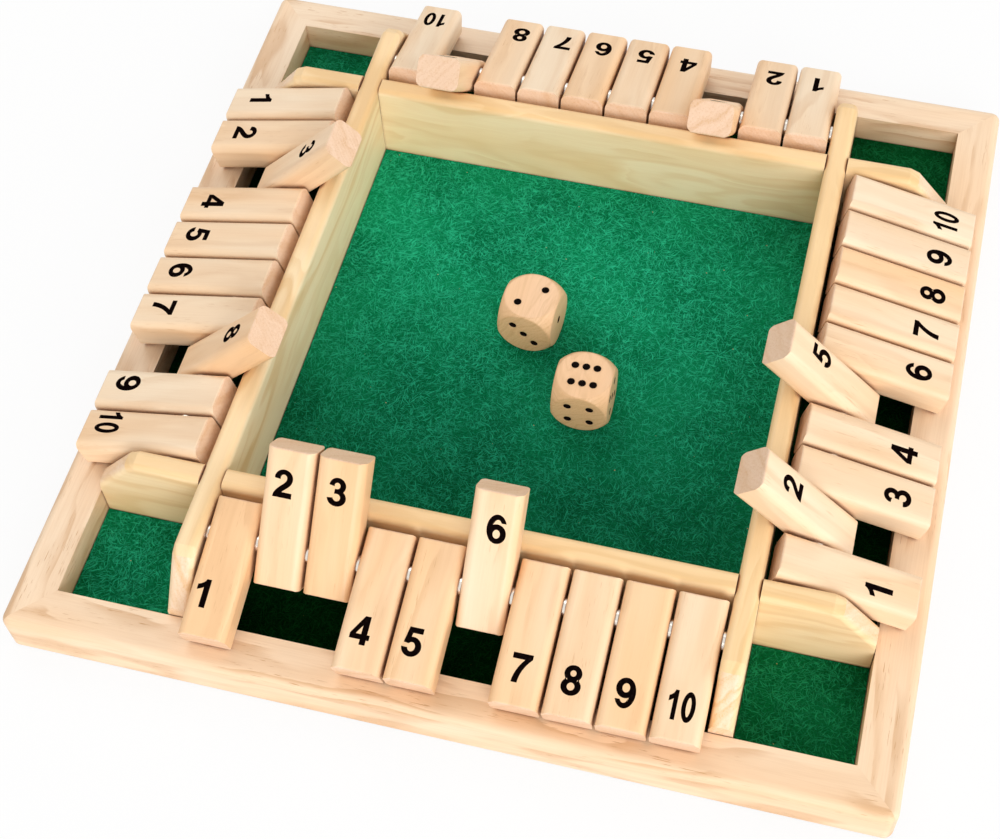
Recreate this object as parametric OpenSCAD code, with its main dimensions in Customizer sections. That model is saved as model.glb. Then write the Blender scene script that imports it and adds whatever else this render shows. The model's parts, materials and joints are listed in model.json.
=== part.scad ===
// Four-player shut-the-box game: a square wooden tray whose four crossed dividers make a felt-lined
// dice arena, four corner trays and four bays. Each bay holds ten numbered tiles that flip over on a
// steel rod, with washers between them. Two wooden dice lie in the arena.
// The origin is on the table, under the middle of the tray. +Z is up, and the front side faces -Y.

/* [Frame] */
// Width of a frame rail, seen from above
rail_w = 15.3; // [14:0.1:18]
// Height of the frame rails above the table
rail_h = 16.2; // [14.5:0.1:17.5]
// Radius of the frame's four upright outer corners
corner_r = 3.6; // [3.3:0.1:9]
// Radius along the outer top edge of the frame
edge_r = 3.2; // [1.5:0.1:3.5]

/* [Floor] */
// Thickness of the base board
base_t = 3.6; // [2.5:0.1:5]
// How far the base board reaches in under the rails
base_lap = 7; // [4:0.1:9]
// Thickness of the felt lining
felt_t = 1; // [0.6:0.1:1.6]

/* [Dividers] */
// Thickness of a divider board
divider_t = 8; // [7:0.1:10]
// Height of the divider tops above the table
divider_h = 37.6; // [36:0.1:40]
// Radius along both top edges of a divider
divider_r = 2.5; // [1:0.1:3.2]
// Length of a divider's level top, from the crossing out to the slope at its end
shoulder_l = 25.7; // [20:0.1:28]
// Length of the small flat that eases a divider's level top into its slope
ease_l = 4; // [1:0.1:6]
// Height above the table at which a divider's sloping end meets the rail
stub_h = 21.3; // [18:0.1:24]

/* [Tiles] */
// Length of a tile
tile_l = 47.5; // [46:0.1:50]
// Width of a tile, along its rod
tile_w = 16.3; // [14:0.1:19]
// Thickness of a tile
tile_t = 12.5; // [11:0.1:13]
// Radius of a tile's four long edges
tile_r = 3; // [1.5:0.1:4]
// Radius of the short edges at a tile's two ends
tile_end_r = 0.8; // [0.4:0.1:1.4]
// Distance from a tile's inner end to the middle of its rod
pivot_inset = 11.9; // [10.5:0.1:12.3]
// Clear width of a tile bay, from the divider to the rail
bay_w = 39.7; // [38:0.1:42]

/* [Rods and washers] */
// Diameter of a steel rod
rod_d = 2; // [1.5:0.1:3]
// Distance from a divider's outer face to the middle of the rod beside it
rod_gap = 14.2; // [13.9:0.1:15.5]
// Height of the rods above the table
rod_h = 30.8; // [30:0.1:32]
// Depth to which each rod end is let into its divider
rod_seat = 5; // [3:0.1:6]
// Outer diameter of a washer
washer_d = 7; // [5:0.1:9]
// Thickness of a washer
washer_t = 0.8; // [0.5:0.1:1.5]

/* [Dice] */
// Width of a die, face to face
die_w = 20.5; // [14:0.1:22]
// Diameter of the ball that rounds off a die's corners
die_ball_d = 28.5; // [27:0.1:31]
// Diameter of a pip
pip_d = 2.8; // [1.5:0.1:3]
// Depth of a pip
pip_depth = 0.6; // [0.3:0.1:1]
// Spacing of neighbouring pips
pip_pitch = 4; // [3.4:0.1:4.4]
// How far the first die lies left of the middle
die_1_left = 7.5; // [-10:0.1:30]
// How far the first die lies back from the middle
die_1_back = 13.6; // [13:0.1:40]
// How far the second die lies right of the middle
die_2_right = 19.1; // [-10:0.1:40]
// How far the second die lies forward of the middle
die_2_fore = 16; // [14:0.1:40]

/* [Clearances] */
// Radial play of a rod in a tile, and in a washer
bore_play = 0.1; // [0.06:0.01:0.2]
// Radial play of a rod in its hole in a divider
seat_play = 0.05; // [0.02:0.01:0.1]
// Play on each side of a washer
washer_play = 0.1; // [0.06:0.01:0.3]
// Gap between a tile at rest and what it leans on, and under each die
rest_gap = 0.3; // [0.1:0.01:0.4]
// Gap round each piece of felt
felt_gap = 0.3; // [0.2:0.05:0.6]
// Play of one divider in the notch of another
notch_play = 0.1; // [0.05:0.01:0.2]
// Gap between a divider's end and the rail
end_gap = 0.3; // [0.1:0.05:0.8]

/* [Hidden] */
SIDES = ["front", "right", "back", "left"];
TILES = 10;
// Which tiles stand flipped, on each side
FLIPPED = [[2, 3, 6], [2, 5], [3, 9], [3, 8]];
// How far each die is turned about its upright axis, in degrees
die_1_turn = -4.9;
die_2_turn = 0.8;
// Pips on the front, right, back, left, top and bottom face of each die
die_1_faces = [3, 1, 4, 6, 2, 5];
die_2_faces = [4, 5, 3, 2, 6, 1];

// Spacing of the tiles along a rod, and the clear width of the arena that ten of them ask for
tile_gap = washer_t + 2 * washer_play;
tile_pitch = tile_w + tile_gap;
arena_w = TILES * tile_pitch + tile_gap;
// Distances from the middle of the tray to a divider's two faces, a rail's inner face, the outside
divider_in = arena_w / 2;
divider_out = divider_in + divider_t;
rail_in = divider_out + bay_w;
tray_half = rail_in + rail_w;
rod_out = divider_out + rod_gap;
felt_top = base_t + felt_t;
lap_h = (base_t + divider_h) / 2;
// Where a divider's slopes start, how steeply they fall, and how far the eased flat lies below
// the corner that it takes off
slope_from = divider_out + shoulder_l;
slope_fall = atan2(divider_h - stub_h, rail_in - end_gap - slope_from);
ease_drop = ease_l / 2 * tan(slope_fall / 2);
// A tile's length from the rod to its outer end, and half its thickness
tile_reach = tile_l - pivot_inset;
tile_half = tile_t / 2;
// Lying, a tile's outer end rests on the rail: its tilt below level
lie_drop = rod_h - rail_h - rest_gap - tile_end_r;
lie_arm = norm([tile_reach - tile_end_r, tile_half - tile_end_r]);
lie_angle = asin(lie_drop / lie_arm) - atan2(tile_half - tile_end_r, tile_reach - tile_end_r);
// Flipped, its face leans on the divider's round shoulder: its rise from level, past upright
lean_arm = [-rod_gap - divider_r, divider_h - divider_r - rod_h];
lean_touch = tile_half + divider_r + rest_gap;
lean_angle = atan2(lean_arm[1], lean_arm[0]) - asin(lean_touch / norm(lean_arm));
flip_travel = lie_angle + lean_angle;
// The last tile of a row stops sooner, where its outer end comes up to the side of the next row's
// first tile, which may stand flipped: how far in that is, and the travel to there
corner_room = rod_gap + divider_t + tile_gap - rest_gap;
corner_rise = atan2(tile_half, tile_reach) + acos(corner_room / norm([tile_reach, tile_half]));
corner_travel = min(flip_travel, lie_angle + 180 - corner_rise);
echo(arena_w = arena_w, tray_w = 2 * tray_half, rod_out = rod_out, divider_out = divider_out,
     rail_in = rail_in, lie_angle = lie_angle, lean_angle = lean_angle, flip_travel = flip_travel,
     corner_travel = corner_travel);
// How far apart the two rows of a six stand, in steps of the pip pitch from the middle
six_row = 0.9;

// A cut reaches this far past the face it opens
past = 1;
$fn = 64;

ROWS = [for (side = [0 : 3]) [for (n = [1 : TILES]) str(SIDES[side], "_tile_", n)]];

// A rectangle with round corners, centred on the origin
module round_rect(size, r) {
    square([size[0] - 2 * r, size[1]], center = true);
    square([size[0], size[1] - 2 * r], center = true);
    for (x = [-1, 1], y = [-1, 1])
        translate([x * (size[0] / 2 - r), y * (size[1] / 2 - r)])
            circle(r = r);
}

// Turns its children from the front of the tray to the given side
module on_side(side) {
    rotate([0, 0, 90 * side])
        children();
}

// An upright section of the frame, of the given width, with a round outer top edge
module frame_section(width) {
    square([width, rail_h - edge_r]);
    square([width - edge_r, rail_h]);
    translate([width - edge_r, rail_h - edge_r])
        intersection() {
            circle(r = edge_r);
            square(edge_r);
        }
}

// The front side of the frame between its two round corners, and one round corner at its right end
module frame_side() {
    straight_l = 2 * (tray_half - corner_r);
    translate([straight_l / 2, -rail_in, 0])
        rotate([90, 0, -90])
            linear_extrude(straight_l)
                frame_section(rail_w);
    translate([straight_l / 2, -straight_l / 2, 0])
        rotate([0, 0, -90])
            rotate_extrude(angle = 90)
                frame_section(corner_r);
}

// One rail: a quarter of the frame, mitred, with a rebate below for the base board
module rail(side) {
    on_side(side)
        color("burlywood")
            difference() {
                intersection() {
                    union() {
                        frame_side();
                        on_side(1)
                            frame_side();
                        on_side(3)
                            frame_side();
                    }
                    translate([0, 0, -past])
                        linear_extrude(rail_h + 2 * past)
                            polygon([
                                [-tray_half, -tray_half], [tray_half, -tray_half],
                                [rail_in, -rail_in], [-rail_in, -rail_in]
                            ]);
                }
                translate([0, 0, base_t / 2 - past / 2])
                    cube([2 * (rail_in + base_lap), 2 * (rail_in + base_lap), base_t + past],
                         center = true);
            }
}

// The board that closes the tray from below, flush with the underside of the rails
module base_board() {
    board_w = 2 * (rail_in + base_lap - notch_play);
    color("tan")
        translate([-board_w / 2, -board_w / 2, 0])
            cube([board_w, board_w, base_t]);
}

// One rectangle of felt on the base board, between the given distances from the middle
module felt_piece(x, y) {
    translate([x[0] + felt_gap, y[0] + felt_gap, base_t])
        cube([x[1] - x[0] - 2 * felt_gap, y[1] - y[0] - 2 * felt_gap, felt_t]);
}

// The nine pieces of felt: the arena, the four bays and the four corner trays
module felt_lining() {
    across = [-divider_in, divider_in];
    color("seagreen") {
        felt_piece(across, across);
        for (side = [0 : 3])
            on_side(side) {
                felt_piece(across, [-rail_in, -divider_out]);
                felt_piece([divider_out, rail_in], [-rail_in, -divider_out]);
            }
    }
}

// A bar along X, as thick as a divider, with both its long top edges rounded
module rounded_bar(length, height) {
    rotate([90, 0, 90])
        linear_extrude(length)
            translate([divider_t / 2, 0]) {
                translate([0, (height - divider_r) / 2])
                    square([divider_t, height - divider_r], center = true);
                translate([0, height / 2 + divider_r])
                    round_rect([divider_t, height - 2 * divider_r], divider_r);
            }
}

// All that may stand below a round-edged slope. It falls towards one end of a divider, by the given
// angle, from a point that lies the given drop under the end of the level top.
module below_slope(end, fall, drop) {
    span = 2 * rail_in;
    translate([end * slope_from, -divider_out, divider_h])
        rotate([0, end * fall, 0])
            translate([-span, 0, -span - drop])
                rounded_bar(2 * span, span);
}

// One full-length divider with sloping ends. Boards of the second kind are notched from below and
// run through on top; those of the first are notched from above.
module divider(side) {
    half_l = rail_in - end_gap;
    notch_w = divider_t + 2 * notch_play;
    from_below = side % 2 == 1;
    on_side(side)
        color("wheat")
            difference() {
                intersection() {
                    translate([-half_l, -divider_out, base_t])
                        rounded_bar(2 * half_l, divider_h - base_t);
                    below_slope(-1, slope_fall, 0);
                    below_slope(1, slope_fall, 0);
                    below_slope(-1, slope_fall / 2, ease_drop);
                    below_slope(1, slope_fall / 2, ease_drop);
                }
                for (x = [-1, 1]) {
                    // The notch that the crossing divider fills
                    translate([x * (divider_in + divider_t / 2), -divider_in - divider_t / 2,
                               from_below ? base_t - past : lap_h])
                        translate([-notch_w / 2, -divider_t / 2 - past, 0])
                            cube([notch_w, divider_t + 2 * past,
                                  from_below ? lap_h - base_t + past : divider_h]);
                    // The blind hole that holds the end of a rod
                    translate([x * rod_out, past - divider_in, rod_h])
                        rotate([90, 0, 0])
                            cylinder(d = rod_d + 2 * seat_play,
                                     h = rod_seat + 2 * seat_play + past);
                }
            }
}

// The steel rod on which a row of tiles turns, from divider to divider
module rod(side) {
    rod_l = arena_w + 2 * rod_seat;
    on_side(side)
        color("silver")
            translate([-rod_l / 2, -rod_out, rod_h])
                rotate([0, 90, 0])
                    cylinder(d = rod_d, h = rod_l);
}

// A row's eleven washers, one in each gap beside the tiles
module washers(side) {
    on_side(side)
        color("gainsboro")
            for (n = [0 : TILES])
                translate([-divider_in + washer_play + n * tile_pitch, -rod_out, rod_h])
                    rotate([0, 90, 0])
                        difference() {
                            cylinder(d = washer_d, h = washer_t);
                            translate([0, 0, -past])
                                cylinder(d = rod_d + 2 * bore_play, h = washer_t + 2 * past);
                        }
}

// A tile about its own rod, which lies along X. The outer end points to -Y.
module tile_blank() {
    intersection() {
        translate([0, pivot_inset - tile_l / 2, 0]) {
            rotate([90, 0, 0])
                translate([0, 0, -tile_l / 2])
                    linear_extrude(tile_l)
                        round_rect([tile_w, tile_t], tile_r);
            }
        translate([-tile_w / 2, pivot_inset - tile_l / 2, 0])
            rotate([90, 0, 90])
                linear_extrude(tile_w)
                    round_rect([tile_l, tile_t], tile_end_r);
    }
}

// One tile in its row, lying or flipped, drilled for the rod
module tile(side, n) {
    is_flipped = len(search(n, FLIPPED[side])) > 0;
    on_side(side)
        translate([-divider_in + tile_gap + tile_w / 2 + (n - 1) * tile_pitch, -rod_out, rod_h])
            rotate([is_flipped ? -lean_angle : lie_angle, 0, 0])
                color("navajowhite")
                    difference() {
                        tile_blank();
                        translate([-tile_w / 2 - past, 0, 0])
                            rotate([0, 90, 0])
                                cylinder(d = rod_d + 2 * bore_play, h = tile_w + 2 * past);
                    }
}

// Where each pip of a face with the given count lies, in steps of the pip pitch
function pip_places(count) =
    count == 1 ? [[0, 0]] :
    count == 2 ? [[-1, -1], [1, 1]] :
    count == 3 ? [[-1, 1], [0, 0], [1, -1]] :
    count == 4 ? [[-1, -1], [-1, 1], [1, -1], [1, 1]] :
    count == 5 ? [[-1, -1], [-1, 1], [0, 0], [1, -1], [1, 1]] :
    [for (x = [-1 : 1], y = [-six_row, six_row]) [x, y]];

// The drilled pips of one face, which is the one that looks along +Z
module face_pips(count) {
    for (at = pip_places(count))
        translate([at[0] * pip_pitch, at[1] * pip_pitch, die_w / 2 - pip_depth])
            cylinder(d = pip_d, h = pip_depth + past);
}

// One die: a cube rounded by a ball, with drilled pips
module die(faces) {
    color("bisque")
        difference() {
            intersection() {
                cube(die_w, center = true);
                sphere(d = die_ball_d);
            }
            for (side = [0 : 3])
                on_side(side)
                    rotate([90, 0, 0])
                        face_pips(faces[side]);
            face_pips(faces[4]);
            rotate([180, 0, 0])
                face_pips(faces[5]);
        }
}

// A die lying on the felt of the arena
module lying_die(x, y, turn, faces) {
    translate([x, y, felt_top + rest_gap + die_w / 2])
        rotate([0, 0, turn])
            die(faces);
}

for (side = [0 : 3]) {
    rail(side);
    divider(side);
    rod(side);
    washers(side);
    for (n = [1 : TILES])
        tile(side, n);
}
base_board();
felt_lining();
lying_die(-die_1_left, die_1_back, die_1_turn, die_1_faces);  // die_1
lying_die(die_2_right, -die_2_fore, die_2_turn, die_2_faces);  // die_2
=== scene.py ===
"""A four-player shut-the-box game: the wood, felt, steel, printed numbers and painted pips around
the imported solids, with the light and the camera. Sizes are in millimetres, and MM turns them into
Blender's metres. Names that end in _M or _m are in metres already.

The front side faces -Y. A tile's own space has its rod at the origin, X along the rod and -Y
towards the outer end, and its +Z face is the one that shows while it lies."""

import json
import math
import random

import bpy
from mathutils import Matrix, Vector


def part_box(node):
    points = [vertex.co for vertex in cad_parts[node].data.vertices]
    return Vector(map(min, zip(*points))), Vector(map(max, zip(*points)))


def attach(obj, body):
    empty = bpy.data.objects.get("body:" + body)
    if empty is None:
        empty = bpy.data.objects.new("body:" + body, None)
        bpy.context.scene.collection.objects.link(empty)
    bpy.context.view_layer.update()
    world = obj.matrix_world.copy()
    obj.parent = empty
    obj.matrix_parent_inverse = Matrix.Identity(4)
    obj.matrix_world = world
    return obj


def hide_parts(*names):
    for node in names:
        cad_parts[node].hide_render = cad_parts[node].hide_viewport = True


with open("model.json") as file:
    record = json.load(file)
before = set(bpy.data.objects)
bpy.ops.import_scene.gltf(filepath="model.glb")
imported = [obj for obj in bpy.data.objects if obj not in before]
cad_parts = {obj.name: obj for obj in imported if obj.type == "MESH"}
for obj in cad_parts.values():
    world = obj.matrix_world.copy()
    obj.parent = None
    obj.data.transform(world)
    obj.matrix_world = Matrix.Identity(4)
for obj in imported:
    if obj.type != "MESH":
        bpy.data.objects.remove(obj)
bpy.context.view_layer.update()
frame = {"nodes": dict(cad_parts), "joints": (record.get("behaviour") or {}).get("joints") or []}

MM = 0.001
SIDES = ("front", "right", "back", "left")
TILES_A_SIDE = 10


def reach(node, end, axis):
    """How far the low (0) or high (1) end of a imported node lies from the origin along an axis."""
    return round(abs(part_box(node)[end][axis]) / MM, 3)


# The tray, as packed
DIVIDER_IN = reach("front_divider", 1, 1)
DIVIDER_OUT = reach("front_divider", 0, 1)
RAIL_IN = reach("front_rail", 1, 1)
BASE_TOP = reach("base_board", 1, 2)
FELT_TOP = reach("felt_lining", 1, 2)
# The felt is cut this much short of the walls around it
FELT_GAP = 0.3

# A tile, and how it lies on the rail or leans on the divider
TILE_L = 47.5
TILE_T = 12.5
PIVOT_INSET = 11.9
LYING_TILT = 13.635
FLIPPED_LEAN = 133.906

# A die and its pips
DIE_W = round(reach("die_1", 1, 2) - reach("die_1", 0, 2), 3)
PIP_D = 2.8
PIP_DEPTH = 0.6
PIP_PITCH = 4.0
# The rows of a six stand closer together, at this share of the pitch from the middle
SIX_ROW = 0.9
# The middle of a pip, where the tip of the drill left its dot, is painted lighter across this width: a
# painted glint
PIP_GLINT_D = 0.9


# ---------------------------------------------------------------- places

def side_turn(side):
    """The turn from the front of the tray to another side."""
    return Matrix.Rotation(math.radians(90 * SIDES.index(side)), 4, "Z")


def hinge_of(tile):
    """The joint on which a tile turns."""
    return next(j for j in frame["joints"] if j["child"] == tile)


def is_flipped(tile):
    """A tile that stands flipped turns back from there, so its range lies below zero."""
    return hinge_of(tile)["range_deg"][0] < 0


def tile_place(side, tile):
    """From a tile's own space to its place at rest, in metres on both sides."""
    angle = -FLIPPED_LEAN if is_flipped(tile) else LYING_TILT
    return (Matrix.Translation(hinge_of(tile)["pos_m"]) @ side_turn(side)
            @ Matrix.Rotation(math.radians(angle), 4, "X"))


def centre_of(node):
    low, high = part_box(node)
    return (low + high) / 2


# ---------------------------------------------------------------- shader building

def plug(tree, socket, item):
    """Sets a socket to a plain value, or links it to what another node gives."""
    if isinstance(item, Value):
        item = item.socket
    if isinstance(item, bpy.types.NodeSocket):
        tree.links.new(item, socket)
    elif socket.type == "RGBA" and len(item) == 3:
        socket.default_value = (*item, 1)
    else:
        socket.default_value = item


class Value:
    """A number that changes over a surface. Sums and products of it add Math nodes."""

    def __init__(self, tree, socket):
        self.tree = tree
        self.socket = socket

    def _math(self, operation, *items):
        node = self.tree.nodes.new("ShaderNodeMath")
        node.operation = operation
        for socket, item in zip(node.inputs, items):
            plug(self.tree, socket, item)
        return Value(self.tree, node.outputs[0])

    def __add__(self, other):
        return self._math("ADD", self, other)

    def __radd__(self, other):
        return self._math("ADD", other, self)

    def __sub__(self, other):
        return self._math("SUBTRACT", self, other)

    def __rsub__(self, other):
        return self._math("SUBTRACT", other, self)

    def __mul__(self, other):
        return self._math("MULTIPLY", self, other)

    def __rmul__(self, other):
        return self._math("MULTIPLY", other, self)

    def __truediv__(self, other):
        return self._math("DIVIDE", self, other)

    def __pow__(self, other):
        return self._math("POWER", self, other)

    def __abs__(self):
        return self._math("ABSOLUTE", self)

    def sine(self):
        return self._math("SINE", self)

    def fraction(self):
        return self._math("FRACT", self)

    def at_most(self, other):
        return self._math("MINIMUM", self, other)

    def at_least(self, other):
        return self._math("MAXIMUM", self, other)


class Nodes:
    """The node tree of a material or of the world, built node by node."""

    def __init__(self, owner):
        self.owner = owner
        owner.use_nodes = True
        self.tree = owner.node_tree
        self.tree.nodes.clear()

    def add(self, kind, settings=None, sockets=None):
        """Adds a node: its settings first, then its sockets by name or number."""
        node = self.tree.nodes.new("ShaderNode" + kind)
        for name, setting in (settings or {}).items():
            setattr(node, name, setting)
        for key, item in (sockets or {}).items():
            plug(self.tree, node.inputs[key], item)
        return node

    def value(self, socket):
        return Value(self.tree, socket)


class Finish(Nodes):
    """One material, with the patterns that wood, felt, steel and paint share."""

    def __init__(self, name):
        super().__init__(bpy.data.materials.new(name))

    def vector(self, operation, *items):
        """Vector Math on the items. A dot product comes back as a number."""
        node = self.add("VectorMath", {"operation": operation}, dict(enumerate(items)))
        if operation == "DOT_PRODUCT":
            return self.value(node.outputs["Value"])
        return node.outputs["Vector"]

    def stretch(self, point, scale, shift=(0, 0, 0)):
        """The point times a scale for each axis, plus a shift."""
        return self.vector("MULTIPLY_ADD", point, scale, shift)

    def noise(self, point, detail=2.0, roughness=0.5):
        """Soft noise, mostly from 0.3 to 0.7."""
        sockets = {"Vector": point, "Scale": 1.0, "Detail": detail, "Roughness": roughness}
        return self.value(self.add("TexNoise", None, sockets).outputs["Fac"])

    def noise_along(self, distance, detail=1.0):
        """Noise along one line."""
        node = self.add("TexNoise", {"noise_dimensions": "1D"},
                        {"W": distance, "Scale": 1.0, "Detail": detail})
        return self.value(node.outputs["Fac"])

    def step(self, item, low, high):
        """0 below low, 1 above high and smooth between."""
        node = self.add("MapRange", {"interpolation_type": "SMOOTHSTEP"},
                        {"Value": item, "From Min": low, "From Max": high})
        return self.value(node.outputs["Result"])

    def mix(self, factor, first, second):
        """From the first colour to the second. A Mix node's colours are its sockets 6, 7 and 2."""
        sockets = {"Factor": factor, 6: first, 7: second}
        return self.add("Mix", {"data_type": "RGBA"}, sockets).outputs[2]

    def bump(self, height, depth_mm, eased_mm=0.0):
        """Dents and ridges of the given depth, on edges that look eased by the given radius."""
        sockets = {"Height": height, "Distance": depth_mm * MM, "Strength": 1.0}
        if eased_mm:
            eased = self.add("Bevel", None, {"Radius": eased_mm * MM})
            sockets["Normal"] = eased.outputs["Normal"]
        return self.add("Bump", None, sockets).outputs["Normal"]

    def surface(self, **sockets):
        """The Principled shader and the output."""
        named = {key.replace("_", " "): item for key, item in sockets.items()}
        shader = self.add("BsdfPrincipled", None, named)
        self.add("OutputMaterial", None, {"Surface": shader.outputs[0]})
        return self.owner


# ---------------------------------------------------------------- wood

class Timber:
    """One kind of wood. Its colours are pale and warm along the grain, line in the grain, the bands and
    the flecks, and end on the sawn ends. ring_mm is the width of a year, pith is where the heart of
    the tree lay across and above a piece's middle, and the rest say how strongly each mark shows."""

    def __init__(self, pale, warm, line, end, ring_mm, band, ring, fleck, fibre, pith):
        self.pale = pale
        self.warm = warm
        self.line = line
        self.end = end
        self.ring_mm = ring_mm
        self.band = band
        self.ring = ring
        self.fleck = fleck
        self.fibre = fibre
        self.pith = pith


FRAME_BEECH = Timber(pale=(0.94, 0.74, 0.54), warm=(0.93, 0.62, 0.37), line=(0.62, 0.34, 0.15),
                     end=(0.72, 0.46, 0.33), ring_mm=7.0, band=0.14, ring=0.55, fleck=1.0,
                     fibre=0.36, pith=(-34, -24))
DIVIDER_PINE = Timber(pale=(0.97, 0.80, 0.53), warm=(0.95, 0.67, 0.36), line=(0.74, 0.44, 0.16),
                      end=(0.90, 0.68, 0.52), ring_mm=5.0, band=0.42, ring=0.28, fleck=0.2,
                      fibre=0.22, pith=(-14, -9))
TILE_PINE = Timber(pale=(0.95, 0.76, 0.55), warm=(0.93, 0.60, 0.33), line=(0.66, 0.37, 0.17),
                   end=(0.84, 0.60, 0.45), ring_mm=7.0, band=0.24, ring=0.24, fleck=0.6,
                   fibre=0.20, pith=(-22, -28))
BASE_PLY = Timber(pale=(0.78, 0.58, 0.38), warm=(0.70, 0.49, 0.29), line=(0.45, 0.27, 0.13),
                  end=(0.5, 0.33, 0.2), ring_mm=22.0, band=0.45, ring=0.35, fleck=0.4,
                  fibre=0.35, pith=(-6, -14))
DIE_MAPLE = Timber(pale=(0.93, 0.62, 0.39), warm=(0.88, 0.53, 0.27), line=(0.60, 0.34, 0.14),
                   end=(0.80, 0.52, 0.28), ring_mm=1.7, band=0.14, ring=0.24, fleck=0.3,
                   fibre=0.28, pith=(-19, -26))

# How fine each mark of the wood is: noise cells to a millimetre along the grain, across it and up
SWAY_GRAIN = (0.011, 0.04, 0.04)
WOBBLE_GRAIN = (0.035, 0.2, 0.2)
FIBRE_GRAIN = (0.05, 1.9, 1.9)
CLOUD_GRAIN = (0.014, 0.07, 0.07)
DASH_GRAIN = (0.16, 3.2, 3.2)
CROWD_GRAIN = (0.03, 0.12, 0.12)
PORE_GRAIN = (1.2, 1.7, 1.7)
# The rings wander this far over a board's length, and wobble this far over a finger's width
SWAY_MM = 26
WOBBLE_MM = 3.5
# Far enough apart in the noise for two pieces to look cut from different boards
BOARD_SHIFT = (31.7, 17.3, 11.9)
BOARD_YEARS = 7.7
# The saw left lines across the sawn ends, this many radians to a millimetre
SAW_LINES = 3.4
GRAIN_DEPTH_MM = 0.05

# Painted shade: the wood is painted a darker brown where two pieces leave no more than this between them
SEAM_SHADE_MM = 1.9
SEAM_SHADE_BROWN = (0.26, 0.055, 0.012)
SEAM_SHADE_DEPTH = 0.8


def wood(name, timber, place, seed, tone=0.0, painted_top_shade=0.0, eased_mm=0.0):
    """A piece of that timber. place turns the piece's own space, with the grain along X and the
    piece's middle at the origin, to its place at rest. tone is from -1, pale, to 1, warm. The faces
    that look up can be painted warmer by the given share, a painted shade of the tops, and the edges
    look eased by eased_mm."""
    finish = Finish(name)
    coordinates = finish.add("TexCoord")
    own = finish.add("Mapping", {"vector_type": "TEXTURE"},
                     {"Vector": coordinates.outputs["Object"],
                      "Location": place.translation,
                      "Rotation": place.to_euler("XYZ"),
                      "Scale": (MM, MM, MM)}).outputs["Vector"]
    shift = tuple(seed * step for step in BOARD_SHIFT)
    split = finish.add("SeparateXYZ", None, {"Vector": own})
    across = finish.value(split.outputs["Y"])
    up = finish.value(split.outputs["Z"])

    # Years of growth, counted outwards from the heart of the tree: dark bands of several years, and
    # the darker late wood that ends each one
    sway = finish.noise(finish.stretch(own, SWAY_GRAIN, shift))
    wobble = finish.noise(finish.stretch(own, WOBBLE_GRAIN, shift))
    from_pith_y = across - timber.pith[0]
    from_pith_z = up - timber.pith[1]
    radius = (from_pith_y * from_pith_y + from_pith_z * from_pith_z) ** 0.5
    radius = radius + (sway - 0.5) * SWAY_MM + (wobble - 0.5) * WOBBLE_MM
    growth = radius / timber.ring_mm + seed * BOARD_YEARS
    bands = finish.step(finish.noise_along(growth * 1.3, 1.5), 0.42, 0.7)
    year = (growth + finish.noise_along(growth * 0.5) * 1.5).fraction()
    late = finish.step(year, 0.35, 0.93) * (1 - finish.step(year, 0.94, 1.0))

    # Fine fibres, clouds of warmer wood, and short dark flecks that crowd together in patches
    fibre = finish.noise(finish.stretch(own, FIBRE_GRAIN, shift), 3.0, 0.6)
    cloud = finish.noise(finish.stretch(own, CLOUD_GRAIN, shift), 1.0)
    dash = finish.noise(finish.stretch(own, DASH_GRAIN, shift), 1.0)
    patches = finish.noise(finish.stretch(own, CROWD_GRAIN, shift), 1.0)
    crowd = finish.step(patches, 0.44, 0.62)
    flecks = finish.step(dash, 0.66, 0.74) * crowd * timber.fleck

    normal = coordinates.outputs["Normal"]
    warmth = (cloud - 0.5) * 1.4 + (0.42 + tone * 0.4)
    # Painted shade: the faces that look up are painted warmer than the sides
    if painted_top_shade:
        upward = finish.vector("DOT_PRODUCT", normal, (0, 0, 1))
        warmth = warmth + finish.step(upward, 0.3, 0.8) * painted_top_shade
    colour = finish.mix(warmth.at_least(0.0).at_most(1.0), timber.pale, timber.warm)
    colour = finish.mix(bands * timber.band, colour, timber.line)
    colour = finish.mix(late * crowd * timber.ring, colour, timber.line)
    colour = finish.mix(((fibre - 0.44) * 1.6 * timber.fibre).at_least(0.0), colour, timber.line)
    colour = finish.mix(flecks, colour, timber.line)

    # Ends sawn across the grain: pores, and the lines of the saw
    grain_axis = place.to_3x3() @ Vector((1, 0, 0))
    facing = abs(finish.vector("DOT_PRODUCT", normal, tuple(grain_axis)))
    sawn = finish.step(facing, 0.4, 0.8)
    pores = finish.noise(finish.stretch(own, PORE_GRAIN, shift), 2.0, 0.7)
    saw = ((across + up * 0.8) * SAW_LINES + (pores - 0.5) * 5).sine() * 0.5 + 0.5
    end_shade = finish.step(pores, 0.5, 0.64) * 0.34 + saw * 0.1 + late * 0.15 + bands * 0.3
    end_colour = finish.mix(end_shade, timber.end, timber.line)
    colour = finish.mix(sawn * 0.8, colour, end_colour)

    # Painted shade in the seams, where the pieces close in on each other
    nearness = finish.add("AmbientOcclusion", {"samples": 6}, {"Distance": SEAM_SHADE_MM * MM})
    seam_shade = 1 - finish.value(nearness.outputs["AO"])
    colour = finish.mix(finish.step(seam_shade, 0.25, 0.95) * SEAM_SHADE_DEPTH, colour, SEAM_SHADE_BROWN)

    relief = fibre * 0.6 + bands * 0.3 + sawn * (pores + saw * 0.5) - flecks
    return finish.surface(Base_Color=colour, Roughness=fibre * 0.2 + 0.36,
                          Normal=finish.bump(relief, GRAIN_DEPTH_MM, eased_mm))


def dress(node, material):
    """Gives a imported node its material."""
    mesh = frame["nodes"][node].data
    mesh.materials.clear()
    mesh.materials.append(material)


def side_place(side, node):
    """The own space of a rail or divider: its grain runs along the side of the tray."""
    return Matrix.Translation(centre_of(node)) @ side_turn(side)


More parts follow.
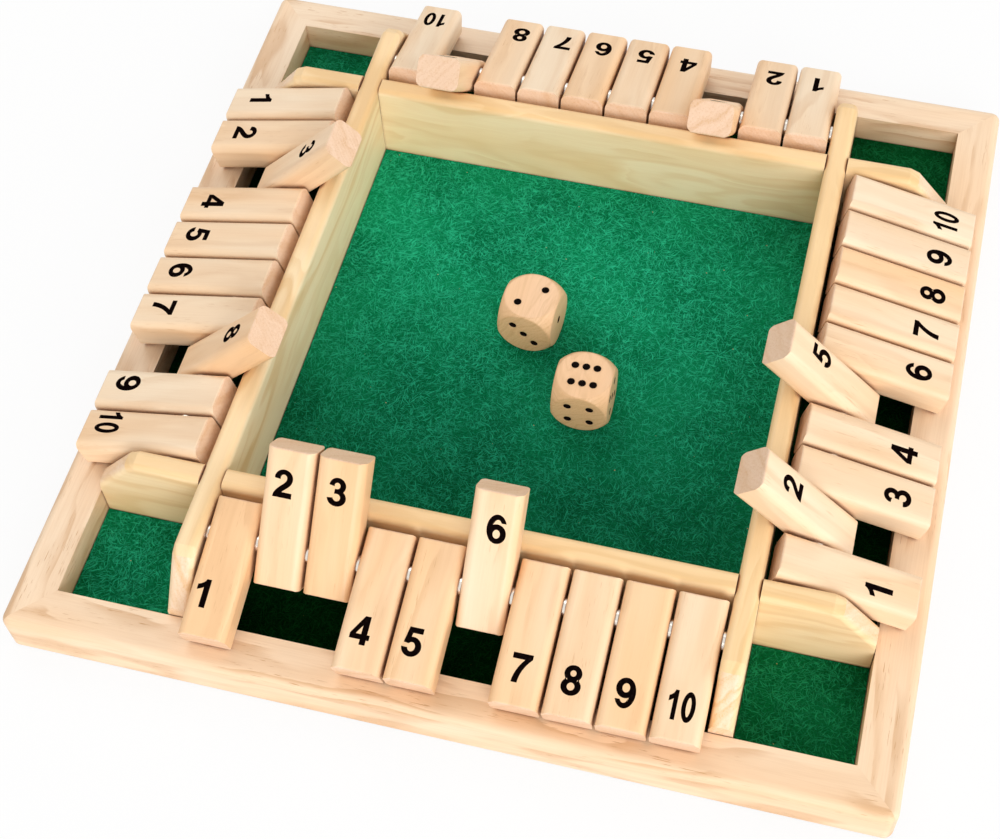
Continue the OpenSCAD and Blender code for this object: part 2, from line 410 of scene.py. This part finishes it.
# The tiles came off several boards: some are a warmer wood and some a paler one
WARM_TILES = {"front": (1, 3, 5, 7, 9), "right": (8,), "back": (3, 4, 6), "left": (8,)}
PALE_TILES = {"front": (6,), "right": (4, 9, 10), "back": (1, 7, 10), "left": (1, 7, 9)}
SUNNED_TILES = ("front_tile_2", "front_tile_6")
WARM_TONE = 1.0
PALE_TONE = -0.8
SUNNED_TONE = 0.5
FRONT_ROW_TONE = 0.3


def tile_tone(side, n):
    """The tone of one tile. The front row is warmer than the rest, and its sunned tiles more so."""
    tone = 0.0
    if side == "front":
        tone += FRONT_ROW_TONE
    if f"{side}_tile_{n}" in SUNNED_TILES:
        tone += SUNNED_TONE
    if n in WARM_TILES[side]:
        tone += WARM_TONE
    if n in PALE_TILES[side]:
        tone += PALE_TONE
    return tone


# Each side's rail and divider have a tone of their own, partly painted light: the paler back and left
# stand in for a sheen and more light, the warmer front for less light
RAIL_TONE_AND_LIGHT = {"front": 0.1, "right": 0.2, "back": -1.0, "left": -0.5}
DIVIDER_TONE_AND_LIGHT = {"front": 0.3, "right": 0.4, "back": -0.5, "left": -0.9}
# The divider tops are painted warmer than their sides, a painted shade
DIVIDER_PAINTED_TOP_SHADE = 0.7
DIE_EASED_MM = 1.1
# Every piece is cut from a board of its own, and these seeds choose the boards
RAIL_SEED = 3
BASE_SEED = 5
DIVIDER_SEED = 13
TILE_SEED = 21
DIE_SEED = 71

for number, side in enumerate(SIDES):
    rail = f"{side}_rail"
    dress(rail, wood(f"{rail}_beech", FRAME_BEECH, side_place(side, rail), RAIL_SEED + number,
                     RAIL_TONE_AND_LIGHT[side]))
    divider = f"{side}_divider"
    dress(divider, wood(f"{divider}_pine", DIVIDER_PINE, side_place(side, divider),
                        DIVIDER_SEED + number, DIVIDER_TONE_AND_LIGHT[side], DIVIDER_PAINTED_TOP_SHADE))
    for n in range(1, TILES_A_SIDE + 1):
        tile = f"{side}_tile_{n}"
        middle = Matrix.Translation((0, (PIVOT_INSET - TILE_L / 2) * MM, 0))
        place = tile_place(side, tile) @ middle @ Matrix.Rotation(math.radians(90), 4, "Z")
        seed = TILE_SEED + TILES_A_SIDE * number + n
        dress(tile, wood(f"{tile}_pine", TILE_PINE, place, seed, tile_tone(side, n)))

base_place = Matrix.Translation(centre_of("base_board"))
dress("base_board", wood("base_board_ply", BASE_PLY, base_place, BASE_SEED))
for number, die in enumerate(("die_1", "die_2")):
    place = Matrix.Translation(centre_of(die)) @ Matrix.Rotation(math.radians(90), 4, "Z")
    dress(die, wood(f"{die}_maple", DIE_MAPLE, place, DIE_SEED + number, eased_mm=DIE_EASED_MM))


# ---------------------------------------------------------------- steel

# Noise cells to a metre: the scratches in steel, the wear of the ink and the spread of pip paint
SCRATCH_GRAIN = (900, 900, 900)
WEAR_GRAIN = (700, 700, 700)
PAINT_GRAIN = (500, 500, 500)


def steel(name, colour, roughness):
    """Drawn steel wire or a stamped washer, with fine scratches."""
    finish = Finish(name)
    point = finish.add("TexCoord").outputs["Object"]
    scratch = finish.noise(finish.stretch(point, SCRATCH_GRAIN), 3.0)
    dull = tuple(0.55 * channel for channel in colour)
    shade = finish.mix(finish.step(scratch, 0.5, 0.75) * 0.4, colour, dull)
    return finish.surface(Base_Color=shade, Metallic=1.0, Roughness=scratch * 0.2 + roughness)


rod_steel = steel("drawn_rod_steel", (0.62, 0.60, 0.58), 0.22)
washer_steel = steel("zinc_washer_steel", (0.80, 0.74, 0.66), 0.1)
for side in SIDES:
    dress(f"{side}_rod", rod_steel)
    dress(f"{side}_washers", washer_steel)


# ---------------------------------------------------------------- green felt

FELT_DEEP = (0.001, 0.112, 0.041)
FELT_GREEN = (0.003, 0.215, 0.083)
FELT_STRAND = (0.030, 0.55, 0.30)
FELT_LINT = (0.6, 0.5, 0.28)
# The strands run in these directions, in degrees, and bend by up to this much
STRAND_TURNS = (4, 27, 49, 72, 95, 118, 140, 163)
STRAND_BEND = (2.5, 2.5, 0)
# Noise cells to a millimetre: along and across a strand, and of the patches where strands lie
STRAND_GRAIN = (0.34, 3.2, 1)
PATCH_GRAIN = (0.13, 0.13, 0.13)
BEND_GRAIN = 0.04
PILE_GRAIN = (0.03, 0.03, 0.03)
GRIT_GRAIN = (1.3, 1.3, 1.3)
LINT_GRAIN = (0.8, 1.1, 1.1)
# Painted shade: the felt goes from a darker front to a paler back between these places across the tray
FELT_SHADE_FROM = -78
FELT_SHADE_TO = 60
FELT_SHADE_LEAST = 0.62
FELT_SHADE_RISE = 0.66
NAP_DEPTH_MM = 0.25


def green_felt(name, depth, front_shaded=False):
    """Long loose fibres that cross in all directions over a deep green ground. depth is painted shade,
    from 0, as the felt lies in the open, to 1, black. Where asked, the felt also takes painted shade,
    darker towards the front of the tray and paler towards the back."""
    finish = Finish(name)
    point = finish.stretch(finish.add("TexCoord").outputs["Object"], (1 / MM, 1 / MM, 1 / MM))
    swirl = finish.add("TexNoise", None, {"Vector": point, "Scale": BEND_GRAIN, "Detail": 2.0})
    bent = finish.stretch(swirl.outputs["Color"], STRAND_BEND, point)
    strands = None
    for number, angle in enumerate(STRAND_TURNS):
        turned = finish.add("Mapping", None, {"Vector": bent, "Rotation": (0, 0, math.radians(angle))})
        along = finish.stretch(turned.outputs["Vector"], STRAND_GRAIN, (53 * number, 0, 0))
        threads = finish.noise(along, 0.5, 0.6)
        patch = finish.noise(finish.stretch(point, PATCH_GRAIN, (97 * number, 0, 0)), 1.0)
        layer = finish.step(threads, 0.62, 0.72) * finish.step(patch, 0.32, 0.52)
        strands = layer if strands is None else strands.at_least(layer)
    pile = finish.noise(finish.stretch(point, PILE_GRAIN), 3.0)
    grit = finish.noise(finish.stretch(point, GRIT_GRAIN), 2.0, 0.7)
    tuft = finish.step(pile * 0.45 + grit * 0.55, 0.38, 0.6)

    shade = (1 - depth, 1 - depth, (1 - depth) ** 1.5)
    deep, green, strand, lint = (tuple(share * channel for share, channel in zip(shade, colour))
                                 for colour in (FELT_DEEP, FELT_GREEN, FELT_STRAND, FELT_LINT))
    colour = finish.mix(strands * 0.7, finish.mix(tuft, deep, green), strand)
    # Painted shade: darker towards the front of the tray, paler towards the back
    if front_shaded:
        split = finish.add("SeparateXYZ", None, {"Vector": point})
        shade_gain = finish.step(finish.value(split.outputs["Y"]), FELT_SHADE_FROM, FELT_SHADE_TO) * FELT_SHADE_RISE + FELT_SHADE_LEAST
        shade_grey = finish.add("CombineXYZ", None, {"X": shade_gain, "Y": shade_gain, "Z": shade_gain}).outputs["Vector"]
        colour = finish.vector("MULTIPLY", colour, shade_grey)
    specks = finish.noise(finish.stretch(point, LINT_GRAIN, (7, 0, 0)), 0.0)
    colour = finish.mix(finish.step(specks, 0.88, 0.9), colour, lint)
    return finish.surface(Base_Color=colour, Roughness=0.95, Specular_IOR_Level=0.02,
                          Normal=finish.bump(strands + grit * 0.6, NAP_DEPTH_MM))


# Painted shade: in the corners, and far more under the tiles, the felt is painted darker than in the
# arena
BAY_PAINTED_SHADE = 0.88
CORNER_PAINTED_SHADE = {"front": 0.45, "right": 0.64, "back": 0.1, "left": 0.0}
# The nap dips by up to this much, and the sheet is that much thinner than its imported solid
NAP_DIP = 0.05
# The sides of a sheet's cells: narrow sheets have the smaller ones
NARROW_SHEET = 60
SMALL_CELL = 4
LARGE_CELL = 8


def felt_sheet(name, felt, low, high, turn):
    """One rectangle of felt on the base board, between two corners given in the front side's view."""
    width = high[0] - low[0]
    length = high[1] - low[1]
    middle = Vector(((low[0] + high[0]) / 2, (low[1] + high[1]) / 2, FELT_TOP))
    cell = SMALL_CELL if min(width, length) < NARROW_SHEET else LARGE_CELL
    bpy.ops.object.select_all(action="DESELECT")
    bpy.ops.mesh.primitive_grid_add(x_subdivisions=int(width / cell),
                                    y_subdivisions=int(length / cell),
                                    size=1, location=(0, 0, 0))
    sheet = bpy.context.object
    sheet.name = name
    sheet.data.name = name
    sheet.data.transform(Matrix.Diagonal((width * MM, length * MM, 1, 1)))
    nap = random.Random(name)
    for vertex in sheet.data.vertices:
        vertex.co.z += nap.uniform(-NAP_DIP, 0.0) * MM
    sheet.data.transform(turn @ Matrix.Translation(middle * MM))
    thickness = sheet.modifiers.new("felt thickness", "SOLIDIFY")
    thickness.thickness = (FELT_TOP - BASE_TOP - NAP_DIP) * MM
    thickness.offset = -1
    bpy.ops.object.modifier_apply(modifier=thickness.name)
    sheet.data.materials.append(felt)
    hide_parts("felt_lining")
    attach(sheet, "tray")
    width * MM
    length * MM


arena_edge = DIVIDER_IN - FELT_GAP
bay_near = DIVIDER_OUT + FELT_GAP
bay_far = RAIL_IN - FELT_GAP
arena_felt = green_felt("arena_shaded_green_felt", 0.0, front_shaded=True)
bay_felt = green_felt("bay_shaded_green_felt", BAY_PAINTED_SHADE)
felt_sheet("arena_felt", arena_felt, (-arena_edge, -arena_edge), (arena_edge, arena_edge),
           side_turn("front"))
for side in SIDES:
    turn = side_turn(side)
    felt_sheet(f"{side}_bay_felt", bay_felt, (-arena_edge, -bay_far), (arena_edge, -bay_near), turn)
    corner_felt = green_felt(f"{side}_corner_shaded_green_felt", CORNER_PAINTED_SHADE[side])
    felt_sheet(f"{side}_corner_felt", corner_felt, (bay_near, -bay_far), (bay_far, -bay_near), turn)


# ---------------------------------------------------------------- printed numbers

def arc(middle, radii, start, stop, steps=14):
    """Points along part of an ellipse, from one angle to another, in degrees."""
    angles = [math.radians(start + (stop - start) * k / steps) for k in range(steps + 1)]
    return [(middle[0] + radii[0] * math.cos(a), middle[1] + radii[1] * math.sin(a)) for a in angles]


def bend(a, b, c, d, steps=8):
    """Points along a cubic curve, without its first one."""
    points = []
    for k in range(1, steps + 1):
        t = k / steps
        u = 1 - t
        weights = (u ** 3, 3 * u * u * t, 3 * u * t * t, t ** 3)
        points.append(tuple(sum(w * p[i] for w, p in zip(weights, (a, b, c, d))) for i in (0, 1)))
    return points


# Each digit gives its outline and its holes, one unit high with its left edge near zero

def digit_0():
    return [arc((0.335, 0.5), (0.335, 0.515), 0, 360, 40)[:-1],
            arc((0.335, 0.5), (0.148, 0.35), 0, 360, 32)[:-1]]


def digit_1():
    outline = [(0.235, 0), (0.425, 0), (0.425, 1), (0.275, 1)]
    outline += bend((0.275, 1), (0.24, 0.90), (0.14, 0.82), (0, 0.785))
    outline += [(0, 0.62)]
    outline += bend((0, 0.62), (0.10, 0.65), (0.18, 0.69), (0.235, 0.745))
    return [outline]


def digit_2():
    outline = [(0, 0), (0.67, 0), (0.67, 0.18), (0.285, 0.18)]
    outline += bend((0.285, 0.18), (0.33, 0.25), (0.42, 0.31), (0.50, 0.385))
    outline += bend((0.50, 0.385), (0.60, 0.48), (0.665, 0.57), (0.665, 0.705))
    outline += arc((0.345, 0.705), (0.32, 0.305), 6, 174)
    outline += [(0.03, 0.69), (0.215, 0.672)]
    outline += arc((0.345, 0.705), (0.132, 0.15), 172, 6, 10)
    outline += bend((0.477, 0.705), (0.475, 0.61), (0.40, 0.53), (0.29, 0.435))
    outline += bend((0.29, 0.435), (0.14, 0.30), (0.02, 0.18), (0, 0))[:-1]
    return [outline]


def digit_3():
    outline = [(0.205, 0.715), (0.035, 0.742)]
    outline += arc((0.325, 0.725), (0.29, 0.285), 166, -44, 16)
    outline += arc((0.325, 0.288), (0.335, 0.298), 46, -172, 18)
    outline += [(0.18, 0.268)]
    outline += arc((0.325, 0.30), (0.148, 0.148), 194, 450, 14)
    outline += [(0.235, 0.445), (0.25, 0.595)]
    outline += arc((0.315, 0.725), (0.122, 0.13), -90, 166, 12)
    return [outline]


def digit_4():
    return [[(0.395, 0), (0.585, 0), (0.585, 0.185), (0.685, 0.185), (0.685, 0.35), (0.585, 0.35),
             (0.585, 1), (0.40, 1), (0, 0.35), (0, 0.185), (0.395, 0.185)],
            [(0.395, 0.35), (0.395, 0.72), (0.165, 0.35)]]


def digit_5():
    outline = [(0.145, 1), (0.625, 1), (0.625, 0.825), (0.275, 0.825)]
    outline += arc((0.33, 0.325), (0.34, 0.34), 104, -172, 20)
    outline += [(0.183, 0.268)]
    outline += arc((0.325, 0.325), (0.148, 0.178), 198, 500, 16)
    outline += [(0.045, 0.46)]
    return [outline]


def digit_6():
    outline = arc((0.345, 0.5), (0.345, 0.515), 29, 268, 24)
    outline += arc((0.36, 0.325), (0.32, 0.34), -88, 118, 18)
    outline += arc((0.365, 0.60), (0.162, 0.255), 182, 34, 10)
    return [outline, arc((0.352, 0.318), (0.142, 0.172), 0, 360, 24)[:-1]]


def digit_7():
    outline = [(0, 1), (0, 0.82), (0.455, 0.82)]
    outline += bend((0.455, 0.82), (0.25, 0.58), (0.125, 0.27), (0.11, 0))
    outline += [(0.30, 0)]
    outline += bend((0.30, 0), (0.30, 0.27), (0.43, 0.60), (0.675, 0.86))
    outline += [(0.675, 1)]
    return [outline]


def digit_8():
    outline = arc((0.335, 0.735), (0.295, 0.28), -50, 230, 24)
    outline += arc((0.335, 0.285), (0.335, 0.30), 125, 415, 26)
    return [outline, arc((0.335, 0.74), (0.118, 0.122), 0, 360, 20)[:-1],
            arc((0.335, 0.285), (0.145, 0.15), 0, 360, 22)[:-1]]


def digit_9():
    """A 6 turned half round, about the middle of its width of 0.69."""
    return [[(0.69 - x, 1 - y) for x, y in loop] for loop in digit_6()]


DIGITS = (digit_0, digit_1, digit_2, digit_3, digit_4, digit_5, digit_6, digit_7, digit_8, digit_9)

NUMBER_H = 9.25
# The ink spreads this far past a digit's outline
INK_SPREAD = 0.12
PRINT_T = 0.05
# Where the middle of a number stands on its tile: this far from the rod, on either face
NUMBER_OUT = 23.0
# The two digits of a 10 are drawn narrower, with this much room between them
NARROW = 0.66
DIGIT_ROOM = 0.19


def number_outlines(number):
    """The closed outlines of a tile's number, one unit high and centred on the origin."""
    if number < 10:
        loops = DIGITS[number]()
    else:
        one = [[(x * NARROW, y) for x, y in loop] for loop in digit_1()]
        zero_from = max(x for x, _ in one[0]) + DIGIT_ROOM
        zero = [[(x * NARROW + zero_from, y) for x, y in loop] for loop in digit_0()]
        loops = one + zero
    xs = [x for loop in loops for x, _ in loop]
    middle = (min(xs) + max(xs)) / 2
    return [[(x - middle, y - 0.5) for x, y in loop] for loop in loops]


def number_mesh(number):
    """A thin printed number, flat on the XY plane, in metres."""
    curve = bpy.data.curves.new(f"number_{number}", "CURVE")
    curve.dimensions = "2D"
    curve.fill_mode = "BOTH"
    curve.extrude = PRINT_T * MM / 2
    curve.offset = INK_SPREAD * MM
    for loop in number_outlines(number):
        spline = curve.splines.new("POLY")
        spline.points.add(len(loop) - 1)
        for point, (x, y) in zip(spline.points, loop):
            point.co = (x * NUMBER_H * MM, y * NUMBER_H * MM, 0, 1)
        spline.use_cyclic_u = True
    flat = bpy.data.objects.new(curve.name, curve)
    bpy.context.scene.collection.objects.link(flat)
    bpy.ops.object.select_all(action="DESELECT")
    flat.select_set(True)
    bpy.context.view_layer.objects.active = flat
    bpy.ops.object.convert(target="MESH")
    bpy.ops.object.mode_set(mode="EDIT")
    bpy.ops.mesh.select_all(action="SELECT")
    bpy.ops.mesh.remove_doubles(threshold=0.001 * MM)
    bpy.ops.object.mode_set(mode="OBJECT")
    mesh = bpy.context.object.data
    bpy.data.objects.remove(bpy.context.object)
    return mesh


INK_BLACK = (0.004, 0.002, 0.002)
INK_WORN = (0.02, 0.010, 0.009)


def printing_ink():
    """Matt brown-black ink, a little worn in spots."""
    finish = Finish("number_ink")
    point = finish.add("TexCoord").outputs["Object"]
    wear = finish.noise(finish.stretch(point, WEAR_GRAIN), 3.0, 0.6)
    worn = finish.step(wear, 0.55, 0.75) * 0.5
    colour = finish.mix(worn, INK_BLACK, INK_WORN)
    return finish.surface(Base_Color=colour, Roughness=wear * 0.2 + 0.7, Specular_IOR_Level=0.0)


ink = printing_ink()
number_meshes = {n: number_mesh(n) for n in range(1, TILES_A_SIDE + 1)}

# The screen lay a little askew when a side was printed, so its numbers drift outward from the
# first tile to the last, and all sit a little aside
DRIFT = {"front": (-1.7, 1.3), "right": (-1.2, 1.4), "back": (-0.5, 2.6), "left": (-0.5, 2.8)}
ASIDE = {"front": -0.6, "right": -1.2, "back": -0.5, "left": -0.8}
# Numbers that sit elsewhere on their tiles: how far aside and how far outward
STRAYS = {
    "front_tile_1": (-3.5, -1.7), "front_tile_2": (-1.3, 0.9), "front_tile_3": (-0.4, 1.8),
    "front_tile_4": (-1.1, -0.8), "front_tile_5": (-1.2, -0.6), "front_tile_6": (1.0, 0.4),
    "front_tile_7": (0.0, 0.3), "front_tile_10": (0.0, 1.2),
    "right_tile_1": (-3.2, -1.4), "right_tile_2": (0.4, -1.1), "right_tile_3": (-1.1, -0.15),
    "right_tile_5": (2.1, -2.6), "right_tile_7": (-0.4, 0.6),
    "back_tile_1": (-0.3, 0.6), "back_tile_2": (-0.3, 0.4), "back_tile_4": (-0.4, -0.8),
    "back_tile_7": (-1.7, 1.0), "back_tile_8": (-1.15, 1.8), "back_tile_10": (0.2, 2.6),
    "left_tile_1": (-1.2, -0.45), "left_tile_2": (-0.25, 0.0), "left_tile_3": (-0.2, -2.9),
    "left_tile_4": (0.4, 0.4), "left_tile_8": (-0.4, -1.4), "left_tile_9": (-1.6, 2.2),
    "left_tile_10": (-2.0, 2.8),
}


def print_shift(side, n):
    """How far aside and outward the number sits on the face that shows in the photograph."""
    first, last = DRIFT[side]
    even = (ASIDE[side], first + (last - first) * (n - 1) / (TILES_A_SIDE - 1))
    return STRAYS.get(f"{side}_tile_{n}", even)


def numbered(side, n):
    """Prints a tile's number on both of its faces."""
    tile = f"{side}_tile_{n}"
    aside, outward = print_shift(side, n)
    shown = (aside * MM, -(NUMBER_OUT + outward) * MM)
    hidden = (0, -NUMBER_OUT * MM)
    upper, under = (hidden, shown) if is_flipped(tile) else (shown, hidden)
    half = TILE_T / 2 * MM
    faces = (Matrix.Translation((*upper, half)),
             Matrix.Translation((*under, -half)) @ Matrix.Rotation(math.pi, 4, "X"))
    prints = []
    for face in faces:
        mesh = number_meshes[n].copy()
        mesh.transform(tile_place(side, tile) @ face)
        prints.append(bpy.data.objects.new(f"{tile}_numbers", mesh))
        bpy.context.scene.collection.objects.link(prints[-1])
    bpy.ops.object.select_all(action="DESELECT")
    for item in prints:
        item.select_set(True)
    bpy.context.view_layer.objects.active = prints[0]
    bpy.ops.object.join()
    printed = bpy.context.object
    printed.data.materials.append(ink)
    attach(printed, tile)


for side in SIDES:
    for n in range(1, TILES_A_SIDE + 1):
        numbered(side, n)


# ---------------------------------------------------------------- painted pips

# How far each die is turned on the felt, in degrees
DIE_TURNS = {"die_1": -4.9, "die_2": 0.8}
# Pips on the front, right, back, left, top and bottom face
DIE_FACES = {"die_1": (3, 1, 4, 6, 2, 5), "die_2": (4, 5, 3, 2, 6, 1)}
PIP_PLACES = {
    1: [(0, 0)], 2: [(-1, -1), (1, 1)], 3: [(-1, 1), (0, 0), (1, -1)],
    4: [(-1, -1), (-1, 1), (1, -1), (1, 1)], 5: [(-1, -1), (-1, 1), (0, 0), (1, -1), (1, 1)],
    6: [(x, y) for x in (-1, 0, 1) for y in (-SIX_ROW, SIX_ROW)],
}

# The paint stands this far clear of the hole's wall. From its rim inwards its dish has a level
# band, a slope and a shallow middle, the last two with how far they go down.
PAINT_GAP = 0.02
DISH_BAND = 0.12
DISH_SLOPE = (0.45, 0.3)
DISH_MIDDLE = (0.4, 0.08)
PIP_SIDES = 28
SMOOTH_BELOW_DEG = 50
# A face looks up where its normal rises by more than this
FACES_UP = 0.9
PAINT_BLACK = (0.003, 0.002, 0.002)
PAINT_BLACK_WORN = (0.012, 0.008, 0.007)
# The lighter paint in the middles of the pips is a painted glint
PIP_GLINT = (0.05, 0.03, 0.02)
PIP_GLINT_SPREAD = (0.12, 0.07, 0.05)


def pip_mesh():
    """The paint in one drilled pip: a dished disc that fills the hole almost to its rim."""
    bpy.ops.object.select_all(action="DESELECT")
    bpy.ops.mesh.primitive_cylinder_add(vertices=PIP_SIDES, radius=(PIP_D / 2 - PAINT_GAP) * MM,
                                        depth=(PIP_DEPTH - 2 * PAINT_GAP) * MM, location=(0, 0, 0))
    pip = bpy.context.object
    bpy.ops.object.mode_set(mode="EDIT")
    bpy.ops.mesh.select_mode(type="FACE")
    bpy.ops.mesh.select_all(action="DESELECT")
    bpy.ops.object.mode_set(mode="OBJECT")
    for face in pip.data.polygons:
        face.select = face.normal.z > FACES_UP
    bpy.ops.object.mode_set(mode="EDIT")
    bpy.ops.mesh.inset(thickness=DISH_BAND * MM)
    for wide, deep in (DISH_SLOPE, DISH_MIDDLE):
        bpy.ops.mesh.inset(thickness=wide * MM, depth=-deep * MM)
    bpy.ops.object.mode_set(mode="OBJECT")
    bpy.ops.object.shade_smooth_by_angle(angle=math.radians(SMOOTH_BELOW_DEG))
    mesh = pip.data
    mesh.transform(Matrix.Translation((0, 0, (DIE_W - PIP_DEPTH - PAINT_GAP) / 2 * MM)))
    bpy.data.objects.remove(pip)
    return mesh


def pip_paint(name, dark, light):
    """Matt paint in the pips, mottled between two colours: black for the paint, and lighter for the
    painted glint in their middles.
    """
    finish = Finish(name)
    point = finish.add("TexCoord").outputs["Object"]
    spread = finish.noise(finish.stretch(point, PAINT_GRAIN))
    return finish.surface(Base_Color=finish.mix(spread, dark, light), Roughness=0.8,
                          Specular_IOR_Level=0.0)


pip = pip_mesh()
paint = pip_paint("pip_paint", PAINT_BLACK, PAINT_BLACK_WORN)
glint_paint = pip_paint("painted_pip_glint", PIP_GLINT, PIP_GLINT_SPREAD)
# The middles of the pips' floors take the lighter paint, a painted glint
for face in pip.polygons:
    in_glint = math.hypot(face.center.x, face.center.y) < PIP_GLINT_D / 2 * MM
    face.material_index = int(in_glint and face.normal.z > FACES_UP)
for die, counts in DIE_FACES.items():
    spin = Matrix.Translation(centre_of(die)) @ Matrix.Rotation(math.radians(DIE_TURNS[die]), 4, "Z")
    turns = [Matrix.Rotation(math.radians(90 * k), 4, "Z") @ Matrix.Rotation(math.pi / 2, 4, "X")
             for k in range(4)]
    turns += [Matrix.Identity(4), Matrix.Rotation(math.pi, 4, "X")]
    bpy.ops.object.select_all(action="DESELECT")
    for turn, count in zip(turns, counts):
        for x, y in PIP_PLACES[count]:
            mesh = pip.copy()
            step = Matrix.Translation((x * PIP_PITCH * MM, y * PIP_PITCH * MM, 0))
            mesh.transform(spin @ turn @ step)
            spot = bpy.data.objects.new(f"{die}_pips", mesh)
            bpy.context.scene.collection.objects.link(spot)
            spot.select_set(True)
            bpy.context.view_layer.objects.active = spot
    bpy.ops.object.join()
    spots = bpy.context.object
    spots.name = f"{die}_pips"
    spots.data.materials.append(paint)
    spots.data.materials.append(glint_paint)
    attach(spots, die)


# ---------------------------------------------------------------- stage, light and camera

FLOOR_SIZE_M = 6
# The floor lies this far under the tray, so that the two never share a plane
FLOOR_DROP = 0.4
FLOOR_WHITE = (0.9, 0.9, 0.9)
# This share of what the camera sees of the floor is plain white, and the rest is lit and shaded
FLOOR_GLOW = 0.88
# The even light from all round, a little warm
ROOM_WHITE = (1.0, 0.985, 0.96)
ROOM_LEVEL = 0.60


def white_floor():
    """A plain white table top. The camera sees it near white, with the tray's soft shadow kept."""
    bpy.ops.object.select_all(action="DESELECT")
    bpy.ops.mesh.primitive_plane_add(size=FLOOR_SIZE_M, location=(0, 0, -FLOOR_DROP * MM))
    floor = bpy.context.object
    floor.name = "table_top"
    finish = Finish("white_table_top")
    seen = finish.value(finish.add("LightPath").outputs["Is Camera Ray"])
    matt = finish.add("BsdfDiffuse", None, {"Color": FLOOR_WHITE}).outputs[0]
    bright = finish.add("Emission", None, {"Color": (1, 1, 1), "Strength": 1.0}).outputs[0]
    blend = finish.add("MixShader", None, {0: seen * FLOOR_GLOW, 1: matt, 2: bright})
    finish.add("OutputMaterial", None, {"Surface": blend.outputs[0]})
    floor.data.materials.append(finish.owner)


def studio_world():
    """Even light from all round, and plain white where the camera or a reflection meets it."""
    world = bpy.data.worlds.new("studio")
    bpy.context.scene.world = world
    sky = Nodes(world)
    path = sky.add("LightPath")
    seen = sky.value(path.outputs["Is Camera Ray"]).at_least(path.outputs["Is Glossy Ray"])
    room = sky.add("Background", None, {"Color": ROOM_WHITE, "Strength": ROOM_LEVEL}).outputs[0]
    backdrop = sky.add("Background", None, {"Color": (1, 1, 1), "Strength": 1.0}).outputs[0]
    chosen = sky.add("MixShader", None, {0: seen, 1: room, 2: backdrop})
    sky.add("OutputWorld", None, {"Surface": chosen.outputs[0]})


def soft_box(name, place_m, size_m, watts):
    """A square studio soft box that looks at the middle of the tray."""
    data = bpy.data.lights.new(name, "AREA")
    data.shape = "SQUARE"
    data.size = size_m
    data.energy = watts
    lamp = bpy.data.objects.new(name, data)
    bpy.context.scene.collection.objects.link(lamp)
    lamp.location = place_m
    lamp.rotation_euler = (-Vector(place_m)).to_track_quat("-Z", "Y").to_euler()


white_floor()
studio_world()
soft_box("back_soft_box", (-1.04, 1.3, 2.0), 1.8, 15)
soft_box("front_soft_box", (1.1, -2.5, 1.25), 1.8, 54)
soft_box("right_soft_box", (2.6, 0.1, 0.9), 1.6, 21)

# The camera, as it stood for the photograph. The last values are in the photograph's pixels.
CAMERA_PLACE_M = (0.10065, -0.35737, 0.54231)
CAMERA_TURN_DEG = (32.721, 1.185, 13.792)
SENSOR_W = 36
PHOTO_W = 1000
FOCAL_PX = 1766.5
CENTRE_SHIFT_PX = (47.8, 0.55)
lens = bpy.data.cameras.new("camera")
lens.sensor_width = SENSOR_W
lens.lens = FOCAL_PX * SENSOR_W / PHOTO_W
lens.shift_x = -CENTRE_SHIFT_PX[0] / PHOTO_W
lens.shift_y = CENTRE_SHIFT_PX[1] / PHOTO_W
lens.clip_start = 10 * MM
camera = bpy.data.objects.new("camera", lens)
bpy.context.scene.collection.objects.link(camera)
camera.location = CAMERA_PLACE_M
camera.rotation_euler = [math.radians(angle) for angle in CAMERA_TURN_DEG]
bpy.context.scene.camera = camera
bpy.context.scene.view_settings.view_transform = "Standard"
